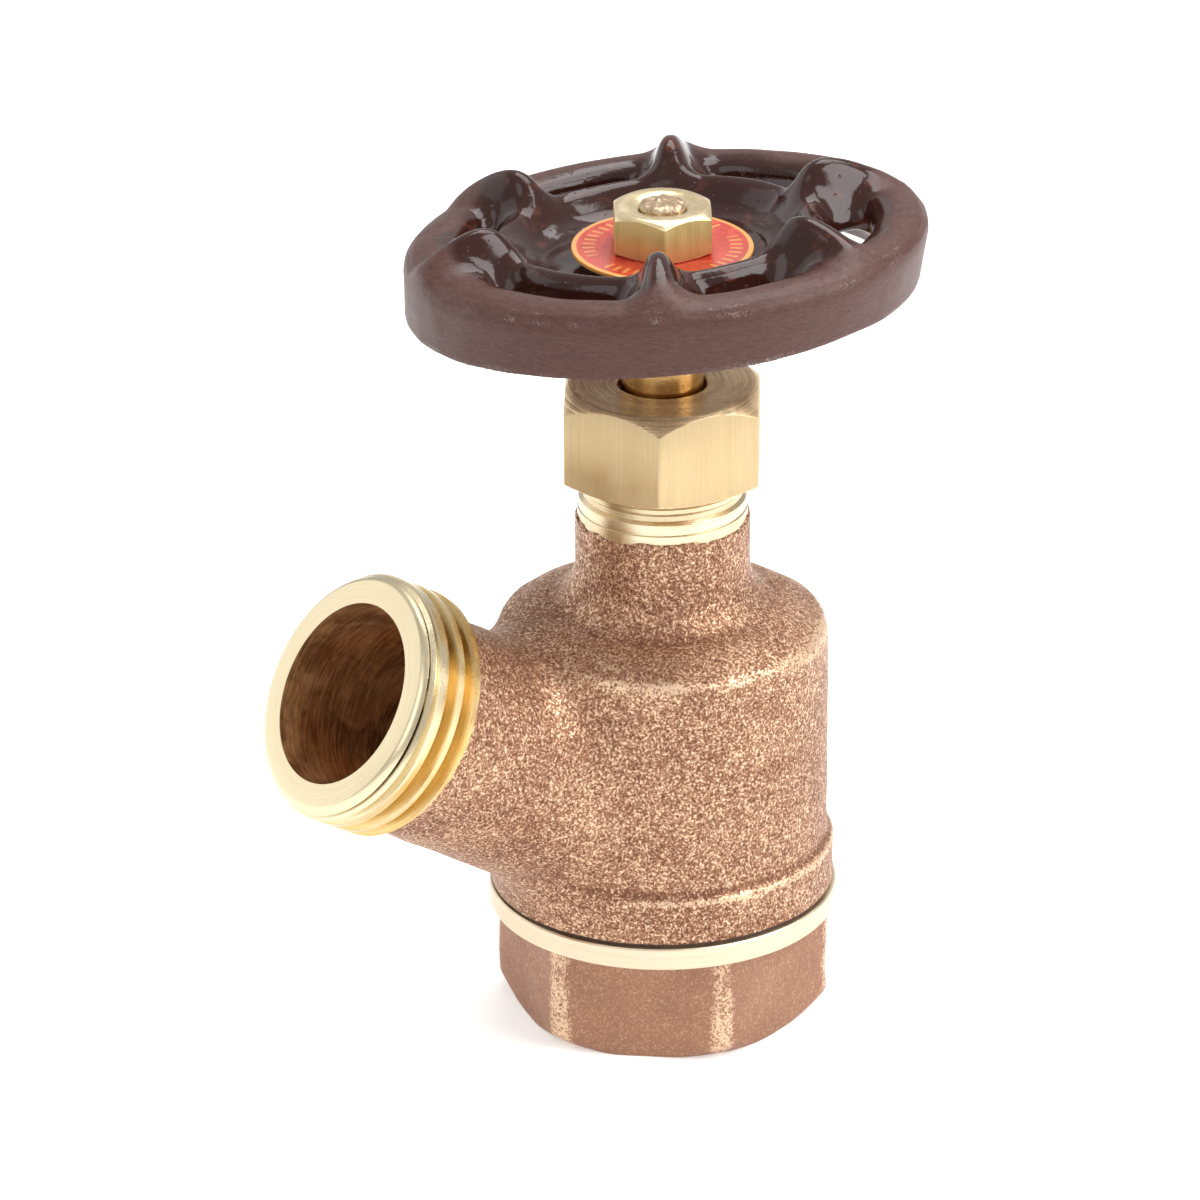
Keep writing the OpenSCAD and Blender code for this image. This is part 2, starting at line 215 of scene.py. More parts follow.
def field_surface(field, low, high, cell):
    """Surface nets: one vertex in each grid cell that the surface crosses, moved on to it."""
    axes = [np.arange(a, b + cell, cell) for a, b in zip(low, high)]
    values = np.empty([len(a) for a in axes], dtype=np.float32)
    for i, x in enumerate(axes[0]):
        y, z = np.meshgrid(axes[1], axes[2], indexing="ij")
        values[i] = field(np.full(y.shape, x), y, z)
    inside = values < 0
    shape = np.array(values.shape) - 1
    corners = [(i, j, k) for i in (0, 1) for j in (0, 1) for k in (0, 1)]

    def shifted(grid, corner):
        return grid[corner[0]:corner[0] + shape[0], corner[1]:corner[1] + shape[1],
                    corner[2]:corner[2] + shape[2]]

    count = sum(shifted(inside, c).astype(np.int8) for c in corners)
    cells = np.argwhere((count > 0) & (count < 8))
    total, hits = np.zeros((len(cells), 3)), np.zeros(len(cells))
    for a in corners:
        for axis in range(3):
            if a[axis]:
                continue
            b = tuple(1 if n == axis else a[n] for n in range(3))
            va = values[tuple((cells + a).T)]
            vb = values[tuple((cells + b).T)]
            crossed = (va < 0) != (vb < 0)
            part = np.where(crossed, va / np.where(crossed, va - vb, 1), 0)
            point = np.array(a) + part[:, None] * (np.array(b) - a)
            total += np.where(crossed[:, None], point, 0)
            hits += crossed
    vertices = (cells + total / hits[:, None]) * cell + np.array([a[0] for a in axes])
    index = np.full(shape, -1, dtype=np.int64)
    index[tuple(cells.T)] = np.arange(len(cells))
    faces = net_faces(inside, index)
    for _ in range(3):
        slope = field_slope(field, vertices)
        length = np.maximum((slope ** 2).sum(axis=1), 0.05)
        step = field(*vertices.T)[:, None] * slope / length[:, None]
        vertices -= np.clip(step, -0.4 * cell, 0.4 * cell)
    return vertices, faces


def net_faces(inside, index):
    """One quad round each grid edge that the surface crosses, turned outwards."""
    faces = []
    for axis in range(3):
        u, v = (axis + 1) % 3, (axis + 2) % 3
        first, second = [slice(1, -1)] * 3, [slice(1, -1)] * 3
        first[axis], second[axis] = slice(0, -1), slice(1, None)
        here, there = inside[tuple(first)], inside[tuple(second)]
        edges = np.argwhere(here != there)
        leaving = here[tuple(edges.T)]
        edges[:, u] += 1
        edges[:, v] += 1
        ring = []
        for du, dv in ((1, 1), (0, 1), (0, 0), (1, 0)):
            cell = edges.copy()
            cell[:, u] -= du
            cell[:, v] -= dv
            ring.append(index[tuple(cell.T)])
        quads = np.stack(ring, axis=1)
        quads[~leaving] = quads[~leaving][:, ::-1]
        faces.append(quads)
    return np.concatenate(faces)


# ---- turned and cut meshes


def lathe(outline, steps=128):
    """Mesh turned from a closed outline of (radius, height), listed outwards along its base."""
    vertices, rings = [], []
    turns = np.arange(steps) * TAU / steps
    for r, h in outline:
        first = len(vertices)
        if r < 1e-6:
            vertices.append((0, 0, h))
            rings.append([first] * steps)
        else:
            vertices += [(r * math.cos(a), r * math.sin(a), h) for a in turns]
            rings.append(list(range(first, first + steps)))
    faces = []
    for a, b in zip(rings, rings[1:] + rings[:1]):
        for n in range(steps):
            m = (n + 1) % steps
            face = tuple(dict.fromkeys((a[n], a[m], b[m], b[n])))
            if len(face) > 2:
                faces.append(face)
    return vertices, faces


def helix_cutter(section, pitch, start, end, radius_at, steps=96):
    """A closed cutter: section of (radius, height) points swept up a right-hand helix.

    start and end are the heights of the section's middle, at the angle 0 for height 0, and
    radius_at(height) moves the section outwards, so that the groove can run out."""
    turns = np.linspace(start / pitch * TAU, end / pitch * TAU,
                        int(abs(end - start) / pitch * steps) + 1)
    vertices = []
    for turn in turns:
        height = turn / TAU * pitch
        for r, h in section:
            r += radius_at(height)
            vertices.append((r * math.cos(turn), r * math.sin(turn), height + h))
    n = len(section)
    faces = []
    for i in range(len(turns) - 1):
        for k in range(n):
            m = (k + 1) % n
            faces.append((i * n + k, (i + 1) * n + k, (i + 1) * n + m, i * n + m))
    faces.append(tuple(range(n)))
    faces.append(tuple(reversed(range((len(turns) - 1) * n, len(turns) * n))))
    return vertices, faces


def square_bar(half, low, high):
    """Upright square bar whose flats are half from its middle."""
    corners = ((-1, -1), (1, -1), (1, 1), (-1, 1))
    vertices = [(half * x, half * y, h) for h in (low, high) for x, y in corners]
    sides = [(k, (k + 1) % 4, 4 + (k + 1) % 4, 4 + k) for k in range(4)]
    return vertices, [(3, 2, 1, 0), (4, 5, 6, 7), *sides]


def moved(mesh, matrix):
    """Vertices and faces after a move."""
    vertices, faces = mesh
    turn = np.array(matrix.to_3x3())
    return np.array(vertices) @ turn.T + np.array(matrix.translation), faces


def add_object(name, data):
    """A new object in the scene."""
    item = bpy.data.objects.new(name, data)
    scene.collection.objects.link(item)
    return item


def solid(name, mesh, slot_index=0, slots=1):
    """A working object in millimetres, all of whose faces use one material slot."""
    vertices, faces = mesh
    data = bpy.data.meshes.new(name)
    data.from_pydata([tuple(v) for v in vertices], [], [tuple(int(n) for n in f) for f in faces])
    for n in range(slots):
        blank = "working_%d" % n
        data.materials.append(bpy.data.materials.get(blank) or bpy.data.materials.new(blank))
    data.polygons.foreach_set("material_index", [slot_index] * len(data.polygons))
    return add_object(name, data)


def carve(piece, tool, slot=0, operation="DIFFERENCE"):
    """Cuts piece with a closed mesh or a working object, whose faces go into a slot of piece."""
    if isinstance(tool, tuple):
        tool = solid("tool", tool, slot, len(piece.data.materials))
    change = piece.modifiers.new("carve", "BOOLEAN")
    change.object, change.operation, change.solver = tool, operation, "MANIFOLD"
    graph = bpy.context.evaluated_depsgraph_get()
    result = bpy.data.meshes.new_from_object(piece.evaluated_get(graph))
    if not len(result.polygons):
        raise RuntimeError("nothing is left of " + piece.name)
    piece.modifiers.clear()
    old, piece.data = piece.data, result
    bpy.data.meshes.remove(old)
    used = tool.data
    bpy.data.objects.remove(tool)
    bpy.data.meshes.remove(used)


def join(piece, tool, slot=0):
    """Adds a closed mesh or a working object to piece."""
    carve(piece, tool, slot, "UNION")


def points_of(piece):
    """The piece's vertices as an array."""
    flat = np.empty(3 * len(piece.data.vertices), dtype=np.float32)
    piece.data.vertices.foreach_get("co", flat)
    return flat.reshape(-1, 3).astype(float)


def mark(piece, name, values):
    """Keeps one number for each vertex, for the materials to read."""
    layer = piece.data.attributes.new(name, "FLOAT", "POINT")
    layer.data.foreach_set("value", np.asarray(values, dtype=np.float32))


def finish_piece(piece, body, nodes, materials, sharp=32):
    """Turns a working object into a finished piece in metres that stands for CAD nodes."""
    data = piece.data
    data.transform(Matrix.Scale(MM, 4))
    for n, material in enumerate(materials):
        data.materials[n] = material
    data.polygons.foreach_set("use_smooth", [True] * len(data.polygons))
    data.set_sharp_from_angle(angle=math.radians(sharp))
    data.update()
    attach(piece, body)
    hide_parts(*nodes)


# ---- materials


class Shader:
    """A new material and short names for the nodes that it is built from."""

    def __init__(self, name):
        self.material = bpy.data.materials.new(name)
        self.material.use_nodes = True
        self.tree = self.material.node_tree
        self.tree.nodes.clear()
        self.base = self.node("ShaderNodeBsdfPrincipled")
        self.node("ShaderNodeOutputMaterial", Surface=self.base.outputs[0])
        self.coords = self.node("ShaderNodeTexCoord").outputs["Object"]

    def link(self, value, socket):
        """Puts a number, colour or node output into a socket."""
        if isinstance(value, bpy.types.NodeSocket):
            self.tree.links.new(value, socket)
        else:
            socket.default_value = value

    def node(self, kind, **inputs):
        """A new node with some of its sockets filled."""
        node = self.tree.nodes.new(kind)
        for key, value in inputs.items():
            self.link(value, node.inputs[key.replace("_", " ")])
        return node

    def maths(self, operation, a, b=0.0):
        node = self.node("ShaderNodeMath")
        node.operation = operation
        for value, socket in zip((a, b), node.inputs):
            self.link(value, socket)
        return node.outputs[0]

    def plus(self, a, b):
        return self.maths("ADD", a, b)

    def minus(self, a, b):
        return self.maths("SUBTRACT", a, b)

    def times(self, a, b):
        return self.maths("MULTIPLY", a, b)

    def over(self, a, b):
        return self.maths("DIVIDE", a, b)

    def near(self, value, middle, outside, inside):
        """1 where value is within inside of middle, and 0 further from it than outside."""
        return self.step(self.maths("ABSOLUTE", self.minus(value, middle)), outside, inside)

    def blend(self, a, a_share, b, b_share):
        """Sum of two values, each with its share."""
        return self.plus(self.times(a, a_share), self.times(b, b_share))

    def noise(self, size, detail, roughness=0.5, vector=None, distortion=0.0):
        """Noise whose bumps are about size millimetres across."""
        node = self.node("ShaderNodeTexNoise", Vector=vector or self.coords, Scale=1 / (size * MM),
                         Detail=detail, Roughness=roughness, Distortion=distortion)
        return node.outputs[0]

    def step(self, value, low, high, to_low=0.0, to_high=1.0):
        """to_low below low, to_high above high, soft between."""
        node = self.node("ShaderNodeMapRange")
        node.interpolation_type = "SMOOTHSTEP"
        for socket, number in zip(node.inputs, (value, low, high, to_low, to_high)):
            self.link(number, socket)
        return node.outputs[0]

    def mix(self, share, a, b):
        node = self.node("ShaderNodeMix")
        node.data_type = "RGBA"
        self.link(share, node.inputs["Factor"])
        for value, socket in ((a, node.inputs[6]), (b, node.inputs[7])):
            self.link((*value, 1) if isinstance(value, tuple) else value, socket)
        return node.outputs[2]

    def attribute(self, name):
        node = self.node("ShaderNodeAttribute")
        node.attribute_name = name
        return node.outputs["Fac"]

    def placed(self, matrix):
        """Object coordinates in another frame, whose matrix is in millimetres."""
        inverse = matrix.inverted()
        return self.node("ShaderNodeMapping", Vector=self.coords, Rotation=inverse.to_euler(),
                         Location=inverse.translation * MM).outputs[0]

    def stretched(self, scale):
        """Object coordinates with each axis multiplied."""
        return self.node("ShaderNodeMapping", Vector=self.coords, Scale=scale).outputs[0]

    def split(self, vector=None):
        """X, Y and Z of some coordinates, and their distance from the Z axis."""
        x, y, z = self.node("ShaderNodeSeparateXYZ", Vector=vector or self.coords).outputs
        return x, y, z, self.maths("SQRT", self.blend(x, x, y, y))

    def turned(self, vector, round_share=0.02):
        """Coordinates (radius, height) that hardly change round the axis, for lathe marks."""
        _, y, z, radius = self.split(vector)
        around = self.times(self.over(y, radius), round_share * MM * 15)
        return self.node("ShaderNodeCombineXYZ", X=radius, Y=around, Z=z).outputs[0]

    def bump(self, height, depth):
        """Bump of a 0 to 1 height that is depth millimetres deep."""
        node = self.node("ShaderNodeBump", Strength=1.0, Distance=depth * MM, Height=height)
        return node.outputs[0]

    def surface(self, **inputs):
        """Sets the shader's own sockets and returns the finished material."""
        for key, value in inputs.items():
            name = key.replace("_", " ")
            if isinstance(value, tuple) and len(value) == 3:
                value = (*value, 1)
            self.link(value, self.base.inputs[name])
        return self.material


def cast_bronze(name, worn=0.0, even=0.0, pale=0.03):
    """Sand-cast bronze: pinkish brown skin with fine worn flecks, and pale edges."""
    s = Shader(name)
    grain = s.noise(0.27, 2, 0.6, distortion=0.7)
    fine = s.noise(0.9, 3, 0.6)
    patches = s.noise(7, 2, 0.5)
    bend = s.attribute("bend")
    uneven = s.minus(patches, 0.5)
    edge = s.step(s.plus(bend, s.times(uneven, 0.12)), 0.03, 0.13)
    calm = s.minus(1, s.times(s.minus(1, edge), even))
    hollow = s.step(bend, -0.012, -0.06)
    level = s.plus(s.blend(grain, 0.8, fine, 0.2), s.times(uneven, 0.07))
    level = s.plus(level, s.times(edge, 0.11))
    level = s.plus(s.minus(level, s.times(hollow, 0.06)), worn)
    flecks = s.times(s.step(level, 0.50, 0.62), calm)
    skin = s.mix(s.step(patches, 0.35, 0.65), (0.285, 0.128, 0.070), (0.32, 0.151, 0.083))
    pits = s.times(s.step(level, 0.49, 0.37), calm)
    colour = s.mix(pits, skin, (0.125, 0.047, 0.024))
    colour = s.mix(flecks, colour, (0.76, 0.54, 0.355))
    height = s.blend(grain, 0.6, s.noise(1.4, 2), 0.6)
    colour = s.mix(pale, colour, (0.62, 0.43, 0.33))
    return s.surface(Base_Color=colour, Metallic=0.72, Normal=s.bump(height, 0.10),
                     Roughness=s.step(flecks, 0, 1, 0.56, 0.38))


# Distance of the thread's first fine cut behind the outlet's face
SCRATCH_BEHIND = 0.8


def outlet_painted_light(s, place, shade):
    """Painted light on the outlet: painted shade as deeper, saturated gold in the thread's roots
    and as a dark line in the fine cut, and a painted highlight as a paler end.
    """
    _, _, along, radius = s.split(place)
    radius = s.over(radius, MM)
    behind = s.minus(OUTLET_LENGTH, s.over(along, MM))
    threaded = s.step(behind, 1.8, 2.6)
    root_shade = s.times(s.step(radius, OUTLET_R, OUTLET_R - 0.45), threaded)
    # Painted shade: deeper, saturated gold in the thread's roots
    shade = s.mix(root_shade, shade, (0.58, 0.385, 0.125))
    # Painted highlight: the end's face and chamfer made paler, as if washed out by light
    shade = s.mix(s.step(behind, 3.0, 2.4), shade, (0.69, 0.59, 0.39))
    # Painted shade: a dark, broken line along the fine cut behind the chamfer
    scratch_shade = s.near(behind, SCRATCH_BEHIND, 0.16, 0.10)
    scratch_shade = s.times(scratch_shade, s.step(radius, OUTLET_R - 0.48, OUTLET_R - 0.60))
    broken = s.step(s.noise(2.6, 3, 0.7, place), 0.40, 0.54)
    return s.mix(s.times(scratch_shade, broken), shade, (0.16, 0.075, 0.02))


def lathe_brass(name, colour, deep, rough=0.24, ring=0.16, depth=0.012, metal=1.0,
                frame_matrix=None, tint=None):
    """Turned brass: fine rings round the axis, slight streaks and a few dark specks."""
    s = Shader(name)
    place = s.placed(frame_matrix) if frame_matrix else s.coords
    around = s.turned(place)
    rings = s.noise(ring, 3, 0.7, around)
    bands = s.noise(1.1, 2, 0.5, around)
    cloud = s.noise(5, 3, 0.6, place)
    specks = s.step(s.noise(0.8, 3, 0.7, place), 0.70, 0.78)
    tone = s.blend(bands, 0.5, cloud, 0.5)
    shade = s.mix(s.step(tone, 0.38, 0.66), deep, colour)
    if tint:
        shade = tint(s, place, shade)
    shade = s.mix(s.times(s.step(rings, 0.3, 0.75), 0.35), shade, (0.88, 0.74, 0.50))
    shade = s.mix(s.times(specks, 0.6), shade, (0.22, 0.10, 0.03))
    return s.surface(Base_Color=shade, Metallic=metal, Normal=s.bump(rings, depth),
                     Roughness=s.step(cloud, 0.3, 0.7, rough * 0.8, rough * 1.35))


def milled_brass(name, colour, deep, metal):
    """Flats of a nut: fine upright marks and a faint cloudy stain."""
    s = Shader(name)
    marks = s.noise(0.16, 3, 0.65, s.stretched((1, 1, 0.02)))
    wide = s.noise(1.3, 2, 0.5, s.stretched((1, 1, 0.06)))
    cloud = s.noise(4, 3, 0.6)
    specks = s.step(s.noise(0.6, 2, 0.7), 0.72, 0.80)
    tone = s.blend(wide, 0.4, cloud, 0.6)
    shade = s.mix(s.step(tone, 0.36, 0.64), deep, colour)
    shade = s.mix(s.times(s.step(marks, 0.4, 0.75), 0.2), shade, (0.85, 0.70, 0.44))
    shade = s.mix(s.times(specks, 0.5), shade, (0.35, 0.18, 0.06))
    return s.surface(Base_Color=shade, Metallic=metal, Normal=s.bump(marks, 0.010),
                     Roughness=s.step(cloud, 0.3, 0.7, 0.425, 0.6))


def bore_brass():
    """Dark, oxidised wall of the water way, with curved machining marks."""
    s = Shader("bore_brass")
    place = s.placed(OUTLET_FRAME)
    rings = s.noise(0.3, 3, 0.7, s.turned(place, 0.05))
    stain = s.noise(3.5, 3, 0.6, place, 0.8)
    shade = s.mix(s.step(stain, 0.35, 0.65), (0.38, 0.18, 0.070), (0.62, 0.345, 0.145))
    shade = s.mix(s.times(s.step(rings, 0.44, 0.62), 0.6), shade, (0.92, 0.60, 0.32))
    return s.surface(Base_Color=shade, Metallic=0.85, Normal=s.bump(rings, 0.03),
                     Roughness=s.step(stain, 0.3, 0.7, 0.30, 0.5))


def dipped_enamel():
    """Brown dip enamel: near black and glossy inside, satin brown round the side."""
    s = Shader("wheel_enamel")
    satin = s.attribute("satin")
    bend = s.attribute("bend")
    flow = s.noise(2.6, 3, 0.55, distortion=0.8)
    grain = s.noise(0.5, 3, 0.6)
    worn = s.step(s.noise(0.35, 4, 0.75, distortion=1.5), 0.50, 0.64)
    rubbed = s.step(s.noise(7, 2), 0.46, 0.60)
    edge = s.times(s.step(bend, 0.02, 0.07), rubbed)
    glossy = s.mix(s.step(flow, 0.56, 0.72), (0.030, 0.0082, 0.0056), (0.075, 0.019, 0.011))
    streaks = s.noise(0.22, 4, 0.7, s.stretched((0.22, 0.22, 1)))
    matt = s.mix(s.step(streaks, 0.22, 0.78), (0.050, 0.0155, 0.0105), (0.095, 0.037, 0.027))
    colour = s.mix(satin, glossy, matt)
    scuff = s.times(s.times(edge, worn), s.times(satin, 0.55))
    colour = s.mix(scuff, colour, (0.42, 0.36, 0.33))
    pits = s.step(s.noise(0.9, 2, 0.6), 0.33, 0.25)
    rough = s.step(satin, 0, 1, 0.12, 0.46)
    height = s.minus(s.blend(flow, 0.25, grain, 0.05), s.times(pits, 0.5))
    height = s.plus(height, s.times(s.times(streaks, satin), 0.45))
    return s.surface(Base_Color=colour, Roughness=rough, Normal=s.bump(height, 0.14),
                     Specular_IOR_Level=0.38)


def printed_plate():
    """Red print with an orange border and plain tick marks round it."""
    s = Shader("plate_paint")
    ticks, groups = 44, 4
    x, y, _, radius = s.split()
    radius = s.over(radius, MM)
    turn = s.over(s.maths("ARCTAN2", y, x), TAU / ticks)
    tick = s.near(s.maths("FRACT", turn), 0.5, 0.20, 0.14)
    group = s.maths("FRACT", s.over(s.plus(turn, 0.25), ticks / groups))
    group = s.near(group, 0.5, 0.40, 0.38)
    band = s.times(s.step(radius, 7.1, 7.2), s.step(radius, 8.5, 8.4))
    border = s.step(radius, PLATE_R - 0.62, PLATE_R - 0.52)
    wear = s.noise(1.2, 3, 0.6)
    red = s.mix(s.step(wear, 0.3, 0.7), (0.53, 0.046, 0.024), (0.65, 0.068, 0.034))
    gold = (0.80, 0.36, 0.09)
    marks = s.times(s.times(tick, group), s.times(band, 0.8))
    colour = s.mix(s.maths("MAXIMUM", marks, border), red, gold)
    return s.surface(Base_Color=colour, Metallic=0.15, Roughness=s.step(wear, 0.3, 0.7, 0.22, 0.34),
                     Normal=s.bump(s.noise(0.9, 2), 0.02), Coat_Weight=0.4)


def soft_stuff(name, dark, light, size, rough, depth):
    """Fibre, yarn or rubber: two tones of grain and a matt, uneven surface."""
    s = Shader(name)
    grain = s.noise(size, 4, 0.65, s.stretched((1, 1, 2.2)))
    cloud = s.noise(size * 7, 2)
    colour = s.mix(s.step(s.blend(grain, 0.7, cloud, 0.3), 0.35, 0.65), dark, light)
    return s.surface(Base_Color=colour, Normal=s.bump(grain, depth),
                     Roughness=s.step(cloud, 0.3, 0.7, rough - 0.08, rough + 0.06))


def braided_yarn(name):
    """Graphited packing: slanting strands wound round the stem."""
    s = Shader(name)
    strands, strand_height = 30, 1.25
    x, y, z, _ = s.split()
    turn = s.over(s.maths("ARCTAN2", y, x), TAU / strands)
    rise = s.over(z, strand_height * MM)
    left = s.maths("PINGPONG", s.plus(turn, rise), 0.5)
    right = s.maths("PINGPONG", s.minus(turn, rise), 0.5)
    strand = s.maths("MAXIMUM", left, right)
    hair = s.noise(0.15, 3, 0.7)
    height = s.blend(strand, 1.6, hair, 0.3)
    colour = s.mix(s.step(height, 0.3, 0.9), (0.012, 0.012, 0.013), (0.075, 0.075, 0.08))
    return s.surface(Base_Color=colour, Metallic=0.2, Normal=s.bump(height, 0.12),
                     Roughness=s.step(hair, 0.3, 0.7, 0.45, 0.65))


def stem_tip_brass():
    """Hammered end of the stem: dents, darker in their low places."""
    s = Shader("stem_tip_brass")
    dents = s.noise(0.9, 3, 0.6, distortion=0.5)
    fine = s.noise(0.3, 3, 0.7)
    low_places_dark = s.step(s.blend(dents, 0.6, fine, 0.4), 0.56, 0.42)
    colour = s.mix(low_places_dark, (0.47, 0.36, 0.235), (0.30, 0.20, 0.12))
    return s.surface(Base_Color=colour, Metallic=0.8, Roughness=s.step(low_places_dark, 0, 1, 0.40, 0.6),
                     Normal=s.bump(dents, 0.10))


BRONZE = cast_bronze("bronze_casting")
HEX_BRONZE = cast_bronze("bronze_hexagon", worn=-0.02, even=0.72, pale=0.14)
OUTLET_BRASS = lathe_brass("outlet_brass", (0.78, 0.61, 0.34), (0.62, 0.37, 0.10),
                           frame_matrix=OUTLET_FRAME, tint=outlet_painted_light)
NECK_BRASS = lathe_brass("neck_brass", (0.74, 0.66, 0.48), (0.52, 0.41, 0.25), depth=0.03)
RING_BRASS = lathe_brass("ring_brass", (0.74, 0.63, 0.48), (0.64, 0.53, 0.38), rough=0.36)
# Turned nut face, also used in the inlet's water way: real lathe rings, but its bright colour,
# raised well past the flats', is a painted highlight on the nut's top
NUT_FACE_PAINTED_LIGHT = lathe_brass("nut_face_brass", (0.98, 0.72, 0.42), (0.78, 0.52, 0.27),
                       ring=0.34, depth=0.15, metal=0.6)
NUT_FLATS = milled_brass("nut_flat_brass", (0.60, 0.46, 0.265), (0.55, 0.41, 0.22), metal=0.85)
SMALL_NUT = milled_brass("small_nut_brass", (0.64, 0.48, 0.19), (0.54, 0.39, 0.14), metal=0.5)
# Top face of the handwheel nut: its pale cream colour is a painted highlight, standing in for the
# reflection its top catches
SMALL_NUT_FACE_PAINTED_LIGHT = lathe_brass("small_nut_face_brass", (0.96, 0.84, 0.58), (0.62, 0.47, 0.25),
                             ring=0.3, metal=0.8)
STEM_BRASS = lathe_brass("stem_brass", (0.74, 0.50, 0.20), (0.50, 0.28, 0.08), rough=0.18)
BORE_BRASS = bore_brass()
TIP_BRASS = stem_tip_brass()
ENAMEL = dipped_enamel()
PLATE = printed_plate()
FIBRE = soft_stuff("gasket_fibre", (0.030, 0.014, 0.008), (0.085, 0.042, 0.022), 0.3, 0.7, 0.03)
RUBBER = soft_stuff("seat_rubber", (0.014, 0.014, 0.014), (0.035, 0.034, 0.033), 0.4, 0.6, 0.02)
YARN = braided_yarn("packing_yarn")


# ---- body casting

body_turned = TurnedField([
    (0, BODY_BASE - 1.5), (COLLAR_R, BODY_BASE - 1.5),
    *arc((COLLAR_R - 0.55, 19.5), 0.55, 0, 70, 5), (17.85, 20.45), (17.8, 21.2),
    *arc((16.0, 43.6), 1.8, 0, 60, 6),
    (15.6, 45.95), (14.5, 46.6), (13.5, 47.0), (12.75, 47.2), *arc((14.3, 51.9), 5.0, 247, 180, 10),
    (9.3, 57.35), (0, 57.35)])

# The cast tube, which sits a little lower than the machined end
TUBE_R, TUBE_DROP, TUBE_END = 12.0, 0.4, OUTLET_LENGTH - 8.0


def outlet_place(y, z):
    """Distance out along the outlet's axis, and height across it."""
    along = y * OUTLET_AXIS[1] + (z - OUTLET_Z) * OUTLET_AXIS[2]
    across = y * OUTLET_AXIS[2] - (z - OUTLET_Z) * OUTLET_AXIS[1]
    return along, across


def body_field(x, y, z):
    """The cast body, neck and outlet tube, with a generous fillet between them."""
    wander = 0.12 * ripple(x, y, z * 0.2, 1.3, 5) + 0.16 * ripple(x, y, z * 0.2, 4, 6)
    shape = body_turned(np.hypot(x, y), z + wander * smooth_step(54, 57, z))
    along, across = outlet_place(y, z)
    tube = np.hypot(x, across + TUBE_DROP) - TUBE_R - 0.25 * smooth_step(30, 12, along)
    tube = np.maximum(smooth_max(tube, along - TUBE_END, 0.4), BODY_BASE - 1.5 - z)
    tube = np.maximum(tube, -along)
    shape = smooth_min(shape, tube, 5.0)
    return shape + 0.05 * ripple(x, y, z, 3.2, 11) + 0.05 * ripple(x, y, z, 9, 12)


def hose_groove():
    """Cutter for the right-hand hose thread, which starts shallow at the outlet's face."""
    pitch, root_r, over_r = 2.209, 12.06, 13.95
    view_angle = math.radians(8)
    first_behind = 3.95
    middle = OUTLET_LENGTH - first_behind - pitch * view_angle / TAU

    def run_in(height):
        behind = OUTLET_LENGTH - middle - height
        return 1.08 * (1 - smooth_step(1.0, 3.0, behind))

    section = [(root_r, -0.05), (over_r, -1.03), (over_r, 1.03), (root_r, 0.05)]
    return moved(helix_cutter(section, pitch, -6.2, 3.0, run_in),
                 OUTLET_FRAME @ Matrix.Translation((0, 0, middle)))


def face_scratch():
    """Cutter for the fine start of the thread, one turn behind the outlet's chamfer."""
    def fade(height):
        return 0.9 * np.abs(height / 0.35)

    section = [(OUTLET_R - 0.95, -0.03), (OUTLET_R + 0.4, -0.33), (OUTLET_R + 0.4, 0.33),
               (OUTLET_R - 0.95, 0.03)]
    return moved(helix_cutter(section, 0.7, -0.35, 0.35, fade),
                 OUTLET_FRAME @ Matrix.Translation((0, 0, OUTLET_LENGTH - SCRATCH_BEHIND)))


def in_outlet(outline):
    """A turned solid about the outlet's axis."""
    return moved(lathe(outline, 160), OUTLET_FRAME)


